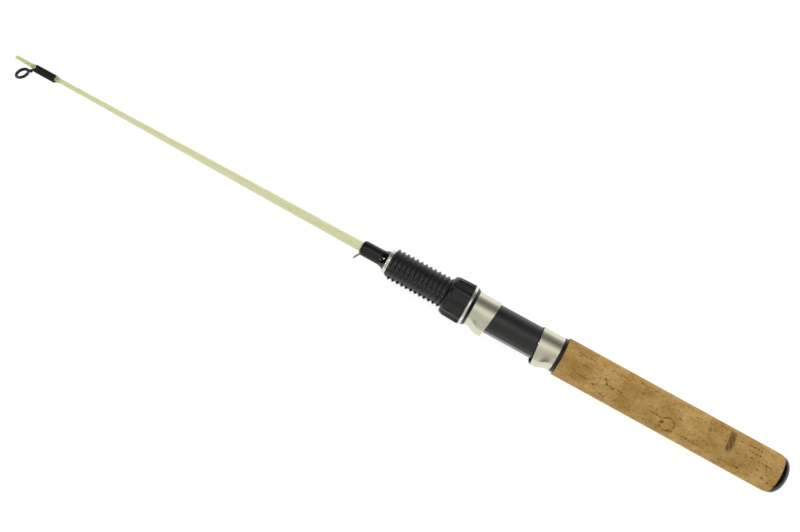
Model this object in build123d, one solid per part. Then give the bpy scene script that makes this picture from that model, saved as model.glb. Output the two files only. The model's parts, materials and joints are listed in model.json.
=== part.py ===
from build123d import *
import os
from math import cos, radians, sin, sqrt

# An ice fishing rod, 550 mm long. A solid glass blank runs through a threaded reel seat and a
# grip of cork rings. It carries one guide near its tip and a hook keeper in front of the seat.
#
# Millimetres. X runs along the rod's axis towards the tip, Y points to the side that the reel,
# the guide and the keeper are on, and Z is up, with the rod lying on its side. The origin is on
# the axis, midway between the mouths of the two hoods.

# ---- places along the rod, as X
TIP_END = 360.2
GUIDE_RING_X = 351.05
GUIDE_WRAP_FRONT = 345.4
GUIDE_WRAP_REAR = 331.0
KEEPER_WRAP_FRONT = 109.0
SEAT_FRONT = 88.2
NUT_FRONT = 48.05
NUT_REAR = 33.75
HOOD_FRONT = 29.75
HOOD_MOUTH = 15.3
FIXED_HOOD_MOUTH = -15.5
FIXED_HOOD_REAR = -30.0
CORK_FRONT = -32.55
BUTT_END = -189.8

# ---- blank: its radius, from the butt part inside the handle to the tip
BLANK_REAR = -165.0
BLANK_BUTT_R = 3.25
BLANK_TAPER = [(111.5, 3.25), (160.7, 3.02), (211.4, 2.62), (262.5, 2.08), (315.0, 1.65), (360.2, 1.36)]
TIP_EDGE = 0.4
GLUE_GAP = 0.01  # what is glued round the taper stands this far off it

# ---- guide
GUIDE_RING_Y = 7.5
GUIDE_LEAN = 31.0  # the ring's far side leans towards the tip, in degrees
GUIDE_TWIST = 9.0  # the ring is bent a little about its own neck, in degrees
GUIDE_BORE_R = 3.07
GUIDE_INSERT_R = 4.05
GUIDE_FRAME_R = 4.95
GUIDE_INSERT_WIDTH = 1.8
GUIDE_FRAME_WIDTH = 1.5
GUIDE_BORE_LAND = 0.8
GUIDE_WIRE_R = 0.5
GUIDE_FOOT_Y = 1.8  # the foot's wires are filed down to sit on the blank
GUIDE_NECK_R = 1.3
GUIDE_NECK_BACK = 1.2  # the neck's middle behind the hoop's nearest point
GUIDE_NECK_LIFT = 0.15
GUIDE_WRAP_R = 1.98
GUIDE_RIDGE_R = 1.22
GUIDE_RIDGE_Y = 1.8
GUIDE_COAT = 0.14
GUIDE_COAT_RUNOUT = 3.2

# ---- hook keeper and its wrap
KEEPER_WIRE_R = 0.4
KEEPER_HALF_WIDTH = 1.6
KEEPER_TOP = (110.2, 8.7)
KEEPER_BEND_X = 107.2
KEEPER_FOOT_REAR = 95.0
KEEPER_WRAP_R = 4.85
KEEPER_COAT_R = 5.15
KEEPER_COAT_FLARE_R = 6.9
KEEPER_FLARE_LENGTH = 5.0
TRIM_RING_WIDTH = 2.5
TRIM_RING_R = 8.1

# ---- reel seat tube and its thread
SEAT_R = 10.4
SEAT_BORE_R = 7.85
THREAD_PITCH = 3.18
THREAD_CREST_R = 10.3
THREAD_ROOT_R = 9.15
THREAD_CREST_HALF = 0.55
THREAD_ROOT_HALF = 1.15
THREAD_SINK = 0.15  # how far the ridge is sunk in the core that it is one piece with
THREAD_START = 21.07
THREAD_TURNS = 20.5
PLAIN_FRONT = 19.0  # front end of the plain stretch between the hoods
SADDLE_Y = 9.8
KEYWAY_WIDTH = 3.0
KEYWAY_FLOOR = 8.95
COLLAR_FRONT_R = 6.9
TENON_R = 9.0
TENON_LENGTH = 13.5
ARBOR_LENGTH = 18.0
ARBOR_PLACES = [64.0, 26.0, -40.0]

# ---- hoods
HOOD_R = 11.45
HOOD_WALL = 0.5
HOOD_BORE_R = 10.55
HOOD_SLANT = 5.4  # degrees between the mouth and a square cut
MOUTH_CURVE_R = 73.0  # the mouth is curved, so that the hood reaches 0.9 further at its sides
HOOD_SWELL = [(0.0, 0.02), (2.6, 0.12), (5.6, 1.5), (9.0, 2.3), (12.5, 2.5), (19.0, 2.6)]
FLANGE_WIDTH = 2.0
FLANGE_R = 12.95
FLANGE_REAR_R = 11.55
POCKET_DEPTH = 10.0
POCKET_WIDTH = 11.0
POCKET_MOUTH_Y = 12.9
POCKET_END_Y = 11.35
POCKET_FLOOR_Y = 8.0  # inside the liner's bore, so that the pocket opens onto the saddle
POCKET_TAPER = 0.8
POCKET_CORNER_R = 1.2
POCKET_OVERRUN = 2.0  # the pocket's cutter runs past both its ends
SLEEVE_R = 11.5
SLEEVE_END = 37.4
BEAD_R = 11.9
BEAD_WIDTH = 1.0
KEY_WIDTH = 2.7
KEY_TIP = 9.2
KEY_REAR = 26.5

# ---- lock nut
NUT_R_REAR = 13.5
NUT_R_FRONT = 12.95
NUT_NOSE_R = 11.1
NUT_CHAMFER = 2.65
NUT_THREAD_R = 10.55
NUT_THREAD_TIP_R = 9.45
NUT_THREAD_TIP_HALF = 0.4
NUT_THREAD_ROOT_HALF = 0.85
NUT_THREAD_TURNS = 2.25
NUT_THREAD_OFFSET = 5.5  # in pitches, so that the nut's ridge runs in the groove between two of the seat's
FLUTES = 8
FLUTE_FIRST = 20.0  # degrees from Y towards Z
FLUTE_R = 5.0
FLUTE_AXIS_R = 17.2
TRIM_WIDTH = 2.0
TRIM_R = 13.1
SLIP = 0.15  # gap between the liner's sleeve and the nut that turns on it

# ---- grip
CORK_R = 12.75
CORK_EDGE = 0.6
FRONT_RINGS = 7
FRONT_RING_LENGTH = 10.25
REAR_RINGS = 8
REAR_RING_LENGTH = 8.97
CAP_R = 12.1
CAP_LENGTH = 7.0
CAP_STEM_R = 4.5
CAP_STEM_LENGTH = 15.0
REAR_COLLAR_R = 11.5


def turned(*outline):
    """The solid that an outline of (x, radius) points sweeps about the rod's axis."""
    return revolve(make_face(Polyline(*outline, close=True)), Axis.X)


def sleeve(rear, front, outer, inner):
    """A plain tube on the rod's axis, from rear to front."""
    return turned((rear, inner), (rear, outer), (front, outer), (front, inner))


def block(x, y, z):
    """A box from three (low, high) pairs."""
    low = (x[0], y[0], z[0])
    high = (x[1], y[1], z[1])
    size = [b - a for a, b in zip(low, high)]
    middle = [(a + b) / 2 for a, b in zip(low, high)]
    return Pos(*middle) * Box(*size)


def along_rod(solid, x):
    """Turns a solid that stands on Z so that it points along the rod, and puts it at x."""
    return Plane(origin=(x, 0, 0), x_dir=(0, 1, 0), z_dir=(1, 0, 0)) * solid


def helical_ridge(start, turns, inner, outer, inner_half, outer_half):
    """A right-hand thread ridge: a trapezoid from radius inner to outer, swept along a helix."""
    path = Helix(pitch=THREAD_PITCH, height=THREAD_PITCH * turns, radius=inner)
    section = Polygon(
        (inner, -inner_half), (outer, -outer_half), (outer, outer_half), (inner, inner_half), align=None
    )
    return along_rod(sweep(sections=Plane.XZ * section, path=path, is_frenet=True), start)


# ---- blank -------------------------------------------------------------------------------

def make_blank(gap=0.0):
    """The solid glass blank: straight inside the handle, then tapering to the tip. The gap makes it stouter."""
    profile = [(x, r + gap) for x, r in BLANK_TAPER]
    tip_x, tip_r = profile[-1]
    taper = Spline(*profile)
    butt = Polyline((TIP_END, 0), (BLANK_REAR, 0), (BLANK_REAR, BLANK_BUTT_R + gap), profile[0])
    face = make_face(Curve() + [butt, taper, Line((tip_x, tip_r), (TIP_END, 0))])
    solid = revolve(face, Axis.X)
    tip_edges = solid.edges().filter_by(GeomType.CIRCLE).sort_by(Axis.X)[-1:]
    return chamfer(tip_edges, TIP_EDGE)


# ---- tip guide ---------------------------------------------------------------------------

LEAN = radians(GUIDE_LEAN)
TWIST = radians(GUIDE_TWIST)
RING_PLANE = Plane(
    origin=(GUIDE_RING_X, GUIDE_RING_Y, 0),
    x_dir=(sin(LEAN), cos(LEAN), 0),
    z_dir=(cos(LEAN) * cos(TWIST), -sin(LEAN) * cos(TWIST), -sin(TWIST)),
)


def hoop(inner, outer, half_width, land):
    """A ring about the guide's bore, with its inner edges rolled back to a short land."""
    waist = (inner + outer) / 2
    face = make_face(
        Polyline((inner, -land / 2), (inner, land / 2))
        + ThreePointArc(
            (inner, land / 2),
            (inner + 0.15 * (waist - inner), land / 2 + 0.7 * (half_width - land / 2)),
            (waist, half_width),
        )
        + Polyline(
            (waist, half_width), (outer, 0.6 * half_width), (outer, -0.6 * half_width), (waist, -half_width)
        )
        + ThreePointArc(
            (waist, -half_width),
            (inner + 0.15 * (waist - inner), -land / 2 - 0.7 * (half_width - land / 2)),
            (inner, -land / 2),
        )
    )
    return RING_PLANE * revolve(Plane.XZ * face, Axis.Z)


def make_guide_frame(room):
    """The guide's frame: a hoop, a brazed neck, and two wires side by side as its one foot."""
    ring = hoop(GUIDE_INSERT_R, GUIDE_FRAME_R, GUIDE_FRAME_WIDTH / 2, 0.8 * GUIDE_FRAME_WIDTH)
    neck_x = GUIDE_RING_X - GUIDE_FRAME_R * sin(LEAN) - GUIDE_NECK_BACK
    neck_y = GUIDE_RING_Y - GUIDE_FRAME_R * cos(LEAN) + GUIDE_NECK_LIFT
    frame = ring + Pos(neck_x, neck_y, 0) * Sphere(GUIDE_NECK_R)
    for side in (-1, 1):
        foot_z = side * (GUIDE_WIRE_R + 0.1)
        path = FilletPolyline(
            (GUIDE_WRAP_REAR + 2.0, GUIDE_FOOT_Y, foot_z),
            (GUIDE_WRAP_FRONT + 0.8, GUIDE_FOOT_Y, foot_z),
            (neck_x, neck_y, side * 0.3),
            radius=1.5,
        )
        start = Plane(origin=path @ 0, z_dir=path % 0)
        frame += sweep(start * Circle(GUIDE_WIRE_R), path=path)
    return frame - room


def make_guide_wrap(room, frame):
    """Thread bound round the blank and the guide's foot."""
    wrap = sleeve(GUIDE_WRAP_REAR, GUIDE_WRAP_FRONT, GUIDE_WRAP_R, 0.5)
    length = GUIDE_WRAP_FRONT - GUIDE_WRAP_REAR
    ridge = Cylinder(GUIDE_RIDGE_R, length, align=(Align.CENTER, Align.CENTER, Align.MIN))
    wrap += along_rod(Pos(GUIDE_RIDGE_Y, 0, 0) * ridge, GUIDE_WRAP_REAR)
    return wrap - room - frame


def make_guide_epoxy(room, frame, wrap):
    """Clear coat over the wrap, running out on the blank at both ends."""
    rear = GUIDE_WRAP_REAR - GUIDE_COAT_RUNOUT
    front = GUIDE_WRAP_FRONT + GUIDE_COAT_RUNOUT
    outer = GUIDE_WRAP_R + GUIDE_COAT
    coat = turned(
        (rear, 0.5),
        (rear, 1.62),
        (GUIDE_WRAP_REAR - 0.6, outer - 0.2),
        (GUIDE_WRAP_REAR + 0.4, outer),
        (GUIDE_WRAP_FRONT - 0.4, outer),
        (GUIDE_WRAP_FRONT + 0.5, outer - 0.25),
        (front, 1.5),
        (front, 0.5),
    )
    length = GUIDE_WRAP_FRONT - GUIDE_WRAP_REAR + 1.2
    ridge = Cylinder(GUIDE_RIDGE_R + GUIDE_COAT, length, align=(Align.CENTER, Align.CENTER, Align.MIN))
    coat += along_rod(Pos(GUIDE_RIDGE_Y, 0, 0) * ridge, GUIDE_WRAP_REAR - 0.6)
    return coat - room - wrap - frame


# ---- hook keeper -------------------------------------------------------------------------

def make_keeper_wire():
    """A U of wire that stands up in front of its wrap, with both feet along the blank."""
    foot_r = BLANK_BUTT_R + KEEPER_WIRE_R + 0.05
    foot_y = sqrt(foot_r**2 - KEEPER_HALF_WIDTH**2)
    top_x, top_y = KEEPER_TOP
    half = [(KEEPER_FOOT_REAR, foot_y), (KEEPER_BEND_X, foot_y), (top_x, top_y)]
    route = [(x, y, -KEEPER_HALF_WIDTH) for x, y in half]
    route += [(x, y, KEEPER_HALF_WIDTH) for x, y in reversed(half)]
    path = FilletPolyline(*route, radius=1.3)
    start = Plane(origin=path @ 0, z_dir=path % 0)
    return sweep(start * Circle(KEEPER_WIRE_R), path=path)


def make_keeper_wrap(blank, wire):
    """Thread bound over the keeper's feet, up to the trim ring."""
    rear = SEAT_FRONT + TRIM_RING_WIDTH
    wrap = turned(
        (rear, 1.0),
        (rear, KEEPER_WRAP_R),
        (KEEPER_WRAP_FRONT - 1.6, KEEPER_WRAP_R),
        (KEEPER_WRAP_FRONT - 0.7, KEEPER_WRAP_R - 0.6),
        (KEEPER_WRAP_FRONT - 0.3, 1.0),
    )
    return wrap - blank - wire


def make_keeper_epoxy(blank, wire, wrap):
    """Clear coat over the keeper's wrap, flared against the trim ring."""
    rear = SEAT_FRONT + TRIM_RING_WIDTH
    skin = Polyline(
        (rear + KEEPER_FLARE_LENGTH, KEEPER_COAT_R), (KEEPER_WRAP_FRONT - 2.4, KEEPER_COAT_R)
    ) + ThreePointArc(
        (KEEPER_WRAP_FRONT - 2.4, KEEPER_COAT_R),
        (KEEPER_WRAP_FRONT - 0.75, KEEPER_COAT_R - 0.6),
        (KEEPER_WRAP_FRONT, BLANK_BUTT_R + 0.2),
    )
    flare = ThreePointArc(
        (rear, KEEPER_COAT_FLARE_R),
        (rear + 0.38 * KEEPER_FLARE_LENGTH, KEEPER_COAT_R + 0.5),
        (rear + KEEPER_FLARE_LENGTH, KEEPER_COAT_R),
    )
    inside = Polyline(
        (KEEPER_WRAP_FRONT, BLANK_BUTT_R + 0.2),
        (KEEPER_WRAP_FRONT, 1.0),
        (rear, 1.0),
        (rear, KEEPER_COAT_FLARE_R),
    )
    coat = revolve(make_face(skin + flare + inside), Axis.X)
    return coat - blank - wrap - wire


def make_front_trim_ring():
    """The polished ring between the keeper's wrap and the seat."""
    ring = sleeve(SEAT_FRONT, SEAT_FRONT + TRIM_RING_WIDTH, TRIM_RING_R, BLANK_BUTT_R)
    rims = ring.edges().filter_by(lambda e: e.bounding_box().size.Z > 2 * TRIM_RING_R - 0.1)
    return fillet(rims, 0.5)


# ---- reel seat ---------------------------------------------------------------------------

def make_seat_body():
    """The seat tube: threaded in front, plain with a saddle between the hoods, a tenon behind."""
    tenon_rear = CORK_FRONT - TENON_LENGTH
    core = turned(
        (tenon_rear, SEAT_BORE_R),
        (tenon_rear, TENON_R),
        (CORK_FRONT, TENON_R),
        (CORK_FRONT, SEAT_R),
        (PLAIN_FRONT, SEAT_R),
        (PLAIN_FRONT + 0.6, THREAD_ROOT_R),
        (SEAT_FRONT - 0.9, THREAD_ROOT_R),
        (SEAT_FRONT - 0.3, THREAD_ROOT_R - 0.8),
        (SEAT_FRONT, COLLAR_FRONT_R),
        (SEAT_FRONT, BLANK_BUTT_R + 1.5),
        (SEAT_FRONT - 3.5, BLANK_BUTT_R + 1.5),
        (SEAT_FRONT - 3.5, SEAT_BORE_R),
    )
    thread = helical_ridge(
        THREAD_START,
        THREAD_TURNS,
        THREAD_ROOT_R - THREAD_SINK,
        THREAD_CREST_R,
        THREAD_ROOT_HALF,
        THREAD_CREST_HALF,
    )
    saddle = block((FIXED_HOOD_REAR + 2, PLAIN_FRONT + 0.6), (SADDLE_Y, SADDLE_Y + 3), (-8, 8))
    keyway = block(
        (PLAIN_FRONT + 0.1, SEAT_FRONT - 2.5), (KEYWAY_FLOOR, 12), (-KEYWAY_WIDTH / 2, KEYWAY_WIDTH / 2)
    )
    return core + thread - saddle - keyway


def make_arbor(x):
    """A bush that centres the seat tube on the blank."""
    return sleeve(x, x + ARBOR_LENGTH, SEAT_BORE_R, BLANK_BUTT_R)


# ---- hoods -------------------------------------------------------------------------------

def hood_form(inset):
    """A hood's full form along Z from its closed end: round, with a bulge towards X."""
    sections = []
    for depth, swell in HOOD_SWELL:
        back = HOOD_R - inset
        reach = back + swell
        front_half = EllipticalCenterArc((0, 0), reach, back, -90, arc_size=180)
        back_half = CenterArc((0, 0), back, 90, 180)
        sections.append(Pos(0, 0, depth) * make_face(front_half + back_half))
    return loft(sections)


def mouth_cut(length):
    """What lies past a hood's slanted mouth, length from its closed end on the back side."""
    beyond = Pos(0, 0, MOUTH_CURVE_R) * Rot(0, 90, 0) * Cylinder(MOUTH_CURVE_R, 60)
    return Pos(-HOOD_R, 0, length) * Rot(0, HOOD_SLANT, 0) * beyond


def hood_shell(length):
    """The pressed steel cover of a hood, on Z from its closed end."""
    return hood_form(0) - hood_form(HOOD_WALL) - mouth_cut(length)


def hood_liner(length, recess):
    """The plastic insert of a hood: bored for the seat, with a pocket for the reel's foot."""
    solid = hood_form(HOOD_WALL) - mouth_cut(length - recess)
    solid -= Pos(0, 0, 10) * Cylinder(HOOD_BORE_R, 60)
    end = (length - POCKET_DEPTH - POCKET_OVERRUN, POCKET_END_Y, POCKET_WIDTH - POCKET_TAPER)
    mouth = (length + POCKET_OVERRUN, POCKET_MOUTH_Y, POCKET_WIDTH)
    faces = []
    for z, roof, width in (end, mouth):
        height = roof - POCKET_FLOOR_Y
        section = RectangleRounded(height, width, POCKET_CORNER_R)
        faces.append(Pos(POCKET_FLOOR_Y + height / 2, 0, z) * section)
    return solid - loft(faces)


def make_moving_hood():
    """The sliding hood's cover, and its liner with a flange, a key and a sleeve for the nut."""
    length = HOOD_FRONT - HOOD_MOUTH
    shell = along_rod(mirror(hood_shell(length), Plane.XY), HOOD_FRONT)
    liner = along_rod(mirror(hood_liner(length, 0.5), Plane.XY), HOOD_FRONT)
    flange_front = HOOD_FRONT + FLANGE_WIDTH
    bead_rear = SLEEVE_END - BEAD_WIDTH
    nose = turned(
        (HOOD_FRONT, HOOD_BORE_R),
        (HOOD_FRONT, FLANGE_REAR_R),
        (flange_front, FLANGE_R),
        (flange_front, SLEEVE_R),
        (bead_rear, SLEEVE_R),
        (bead_rear + 0.2, BEAD_R),
        (SLEEVE_END - 0.4, BEAD_R),
        (SLEEVE_END, SLEEVE_R),
        (SLEEVE_END, HOOD_BORE_R),
    )
    key = block(
        (KEY_REAR, SLEEVE_END - 1.0), (KEY_TIP, HOOD_BORE_R + 0.2), (-KEY_WIDTH / 2, KEY_WIDTH / 2)
    )
    return shell, liner + nose + key


def make_fixed_hood():
    """The hood at the butt end of the seat, glued on, with its mouth towards the tip."""
    length = FIXED_HOOD_MOUTH - FIXED_HOOD_REAR
    shell = along_rod(hood_shell(length), FIXED_HOOD_REAR)
    liner = along_rod(hood_liner(length, -0.7), FIXED_HOOD_REAR)
    return shell, liner


# ---- lock nut ----------------------------------------------------------------------------

def make_lock_nut():
    """The fluted nut that runs on the seat's thread and holds the hood's sleeve by its bead."""
    bead_rear = SLEEVE_END - BEAD_WIDTH
    nut = turned(
        (NUT_REAR, SLEEVE_R + SLIP),
        (NUT_REAR, NUT_R_REAR),
        (NUT_FRONT - NUT_CHAMFER, NUT_R_FRONT),
        (NUT_FRONT - 0.8, NUT_R_FRONT - 1.0),
        (NUT_FRONT, NUT_NOSE_R),
        (NUT_FRONT, NUT_THREAD_R),
        (SLEEVE_END + SLIP, NUT_THREAD_R),
        (SLEEVE_END + SLIP, BEAD_R + SLIP),
        (bead_rear - SLIP, BEAD_R + SLIP),
        (bead_rear - SLIP, SLEEVE_R + SLIP),
    )
    length = NUT_FRONT - NUT_REAR
    for k in range(FLUTES):
        angle = FLUTE_FIRST + 360 / FLUTES * k
        cutter = Rot(0, 0, angle) * Pos(FLUTE_AXIS_R, 0, length / 2) * Cylinder(FLUTE_R, length + 2)
        nut -= along_rod(cutter, NUT_REAR)
    nut += helical_ridge(
        THREAD_START + NUT_THREAD_OFFSET * THREAD_PITCH,
        NUT_THREAD_TURNS,
        NUT_THREAD_TIP_R,
        NUT_THREAD_R + 0.1,
        NUT_THREAD_TIP_HALF,
        NUT_THREAD_ROOT_HALF,
    )
    return nut


def make_nut_trim_ring():
    """The polished ring on the nut's rear face."""
    ring = sleeve(NUT_REAR - TRIM_WIDTH, NUT_REAR, TRIM_R, SLEEVE_R + 0.25)
    rims = ring.edges().filter_by(lambda e: e.bounding_box().size.Z > 2 * TRIM_R - 0.1)
    return fillet(rims, 0.45)


# ---- grip --------------------------------------------------------------------------------

def make_rear_collar():
    """The black ring between the fixed hood and the cork."""
    ring = sleeve(CORK_FRONT, FIXED_HOOD_REAR, REAR_COLLAR_R, SEAT_R)
    rims = ring.edges().filter_by(lambda e: e.bounding_box().size.Z > 2 * REAR_COLLAR_R - 0.1)
    return fillet(rims, 0.5)


def cork_joints():
    """Where each cork ring begins, from the seat to the butt cap."""
    places = [CORK_FRONT - FRONT_RING_LENGTH * k for k in range(FRONT_RINGS)]
    rear_start = CORK_FRONT - FRONT_RING_LENGTH * FRONT_RINGS
    places += [rear_start - REAR_RING_LENGTH * k for k in range(REAR_RINGS + 1)]
    return places + [BUTT_END + CAP_LENGTH]


def make_cork_rings(inner_parts):
    """The grip's cork rings, glued face to face and bored for what runs through them."""
    places = cork_joints()
    whole = turned(
        (places[-1], 0),
        (places[-1], CAP_R),
        (places[-1] + 1.6, CORK_R - 0.25),
        (places[-1] + 3.2, CORK_R),
        (places[0] - CORK_EDGE, CORK_R),
        (places[0], CORK_R - CORK_EDGE),
        (places[0], 0),
    )
    for part in inner_parts:
        whole -= part
    whole -= sleeve(CORK_FRONT - TENON_LENGTH, CORK_FRONT, TENON_R, 0.5)
    rings = []
    for front, rear in zip(places, places[1:]):
        rings.append(whole & sleeve(rear, front, CORK_R + 1, 0.0))
    return rings


def make_butt_cap():
    """The moulded cap that closes the butt, with a stem glued into the grip's bore."""
    cork_end = BUTT_END + CAP_LENGTH
    dome = scale(Sphere(CAP_R), by=(CAP_LENGTH / CAP_R, 1, 1))
    dome = Pos(cork_end, 0, 0) * dome - block((cork_end, cork_end + 20), (-20, 20), (-20, 20))
    return dome + sleeve(cork_end - 1, cork_end + CAP_STEM_LENGTH, CAP_STEM_R, 0)


# ---- assembly ----------------------------------------------------------------------------

def make_parts():
    """Every sub-part of the rod by name."""
    parts = {}
    blank = make_blank()
    parts["blank"] = blank
    room = make_blank(GLUE_GAP)
    frame = make_guide_frame(room)
    parts["tip_guide_frame"] = frame
    parts["tip_guide_ring"] = hoop(GUIDE_BORE_R, GUIDE_INSERT_R, GUIDE_INSERT_WIDTH / 2, GUIDE_BORE_LAND)
    wrap = make_guide_wrap(room, frame)
    parts["tip_guide_wrap"] = wrap
    parts["tip_guide_epoxy"] = make_guide_epoxy(room, frame, wrap)
    wire = make_keeper_wire()
    parts["keeper_wire"] = wire
    keeper_wrap = make_keeper_wrap(blank, wire)
    parts["keeper_wrap"] = keeper_wrap
    parts["keeper_epoxy"] = make_keeper_epoxy(blank, wire, keeper_wrap)
    parts["front_trim_ring"] = make_front_trim_ring()
    parts["seat_body"] = make_seat_body()
    for name, x in zip(("front", "middle", "rear"), ARBOR_PLACES):
        parts[f"seat_arbor_{name}"] = make_arbor(x)
    parts["lock_nut"] = make_lock_nut()
    parts["nut_trim_ring"] = make_nut_trim_ring()
    parts["moving_hood_shell"], parts["moving_hood_liner"] = make_moving_hood()
    parts["fixed_hood_shell"], parts["fixed_hood_liner"] = make_fixed_hood()
    parts["rear_collar"] = make_rear_collar()
    cap = make_butt_cap()
    for number, ring in enumerate(make_cork_rings([blank, cap]), start=1):
        parts[f"cork_ring_{number:02d}"] = ring
    parts["butt_cap"] = cap
    return parts


os.makedirs("parts", exist_ok=True)
for name, solid in make_parts().items():
    export_step(solid, f"parts/{name}.step")
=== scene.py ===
import json
import math

import bmesh
import bpy
import numpy as np
from mathutils import Matrix, Vector

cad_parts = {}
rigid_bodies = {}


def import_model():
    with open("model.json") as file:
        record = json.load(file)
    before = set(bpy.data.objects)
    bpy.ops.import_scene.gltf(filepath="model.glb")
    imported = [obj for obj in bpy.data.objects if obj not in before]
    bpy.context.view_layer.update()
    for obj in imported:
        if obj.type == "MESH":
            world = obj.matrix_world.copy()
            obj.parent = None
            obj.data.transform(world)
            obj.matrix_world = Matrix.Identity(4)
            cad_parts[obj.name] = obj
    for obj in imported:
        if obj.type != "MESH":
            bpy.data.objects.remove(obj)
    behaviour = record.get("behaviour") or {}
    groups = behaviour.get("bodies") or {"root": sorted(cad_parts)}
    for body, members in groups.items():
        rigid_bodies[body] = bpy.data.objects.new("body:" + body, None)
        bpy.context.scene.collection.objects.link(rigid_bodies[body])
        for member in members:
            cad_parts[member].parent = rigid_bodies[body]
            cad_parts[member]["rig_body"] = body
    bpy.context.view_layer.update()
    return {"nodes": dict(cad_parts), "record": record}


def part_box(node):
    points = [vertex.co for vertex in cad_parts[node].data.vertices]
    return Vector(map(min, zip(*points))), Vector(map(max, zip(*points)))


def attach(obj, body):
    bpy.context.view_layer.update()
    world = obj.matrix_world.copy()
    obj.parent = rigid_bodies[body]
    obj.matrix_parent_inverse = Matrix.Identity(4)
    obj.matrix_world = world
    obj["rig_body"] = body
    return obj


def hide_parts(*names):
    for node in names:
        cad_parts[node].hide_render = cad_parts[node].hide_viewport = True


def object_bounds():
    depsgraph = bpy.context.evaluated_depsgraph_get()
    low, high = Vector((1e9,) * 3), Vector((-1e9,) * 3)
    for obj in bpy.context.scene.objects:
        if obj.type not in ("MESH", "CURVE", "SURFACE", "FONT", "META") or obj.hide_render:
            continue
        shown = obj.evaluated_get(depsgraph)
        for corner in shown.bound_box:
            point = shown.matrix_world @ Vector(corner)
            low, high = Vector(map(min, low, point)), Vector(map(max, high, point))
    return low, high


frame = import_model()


# ---- The blank --------------------------------------------------------------------------------
# One solid rod of glass fibre in clear resin, ground to a taper and varnished. It is glued into
# the handle and runs out past the guide to a plain cut tip. Fine fibres show along it.

MM = 0.001


def fit(piece, part):
    """The piece takes the place of a part, and moves as it does."""
    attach(piece, frame["nodes"][part]["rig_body"])
    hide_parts(part)


def placed(name, data):
    """A new object in the scene, made from a mesh, a curve, a lamp or a camera."""
    piece = bpy.data.objects.new(name, data)
    bpy.context.scene.collection.objects.link(piece)
    return piece


def smoothed(mesh, crease):
    """Smooth shading over a mesh, but for edges sharper than crease in degrees."""
    mesh.shade_smooth()
    mesh.set_sharp_from_angle(angle=math.radians(crease))


def dressed(part, name, crease=30):
    """A part's own shape, with its facets joined and smoothed."""
    mesh = frame["nodes"][part].data.copy()
    mesh.name = name
    work = bmesh.new()
    work.from_mesh(mesh)
    bmesh.ops.remove_doubles(work, verts=work.verts, dist=0.002 * MM)
    work.to_mesh(mesh)
    work.free()
    mesh.materials.clear()
    smoothed(mesh, crease)
    return placed(name, mesh)


def finish_of(name, **sockets):
    """A new material, its tree and its shader, with these values on the shader's sockets."""
    material = bpy.data.materials.new(name)
    material.use_nodes = True
    tree = material.node_tree
    shader = tree.nodes["Principled BSDF"]
    for label, value in sockets.items():
        shader.inputs[label.replace("_", " ")].default_value = value
    return material, tree, shader


def step(tree, kind, settings=(), **inputs):
    """Adds one node. Its inputs are named, or numbered as i0, i1 and so on, and take values or links."""
    made = tree.nodes.new(kind)
    for label, value in dict(settings).items():
        setattr(made, label, value)
    for label, value in inputs.items():
        if label[0] == "i" and label[1:].isdigit():
            socket = made.inputs[int(label[1:])]
        else:
            socket = made.inputs[label.replace("_", " ")]
        if isinstance(value, bpy.types.NodeSocket):
            tree.links.new(value, socket)
        else:
            socket.default_value = value
    return made


def stretched(tree, x, y, z):
    """The object's own coordinates, scaled along each axis."""
    place = step(tree, "ShaderNodeTexCoord").outputs["Object"]
    return step(tree, "ShaderNodeMapping", Vector=place, Scale=(x, y, z)).outputs[0]


def noise(tree, x, y, z, detail):
    """Noise from 0 to 1 over the object's own coordinates, scaled along each axis."""
    place = stretched(tree, x, y, z)
    return step(tree, "ShaderNodeTexNoise", Vector=place, Scale=1.0, Detail=detail).outputs[0]


def ramp(tree, factor, *stops):
    """A colour ramp through stops of (place, colour)."""
    made = step(tree, "ShaderNodeValToRGB", Fac=factor)
    bands = made.color_ramp.elements
    bands[0].position, bands[1].position = stops[0][0], stops[-1][0]
    for place, _ in stops[1:-1]:
        bands.new(place)
    for band, (_, colour) in zip(bands, stops):
        band.color = (*colour, 1)
    return made.outputs[0]


def bumped(tree, shader, height, depth, strength):
    """Raises the shader's surface by a height from 0 to 1, times depth in metres."""
    made = step(tree, "ShaderNodeBump", Height=height, Distance=depth, Strength=strength)
    tree.links.new(made.outputs[0], shader.inputs["Normal"])


def glass_fibre():
    material, tree, shader = finish_of(
        "glass fibre", Roughness=0.3, IOR=1.5, Subsurface_Weight=0.35, Subsurface_Scale=2 * MM,
        Coat_Weight=0.25,
    )
    shader.inputs["Subsurface Radius"].default_value = (1.0, 0.95, 0.5)
    strands = noise(tree, 30, 2600, 2600, 4)
    cloud = noise(tree, 90, 300, 300, 3)
    fibre = ramp(tree, strands, (0.3, (0.84, 0.85, 0.48)), (0.7, (0.97, 0.98, 0.64)))
    resin = ramp(tree, cloud, (0.3, (0.85, 0.87, 0.50)), (0.7, (0.97, 0.98, 0.62)))
    both = step(tree, "ShaderNodeMix", {"data_type": "RGBA"}, i0=0.5, i6=fibre, i7=resin)
    tree.links.new(both.outputs[2], shader.inputs["Base Color"])
    bumped(tree, shader, strands, 0.02 * MM, 0.4)
    return material


blank = dressed("blank", "glass_blank")
blank.data.materials.append(glass_fibre())
fit(blank, "blank")


# ---- The tip guide ----------------------------------------------------------------------------
# A black ring that the line runs through. A round hoop of wire holds a hard polished ring, and the
# hoop's two ends cross at a brazed neck and run back side by side along the blank as one foot.

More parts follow.
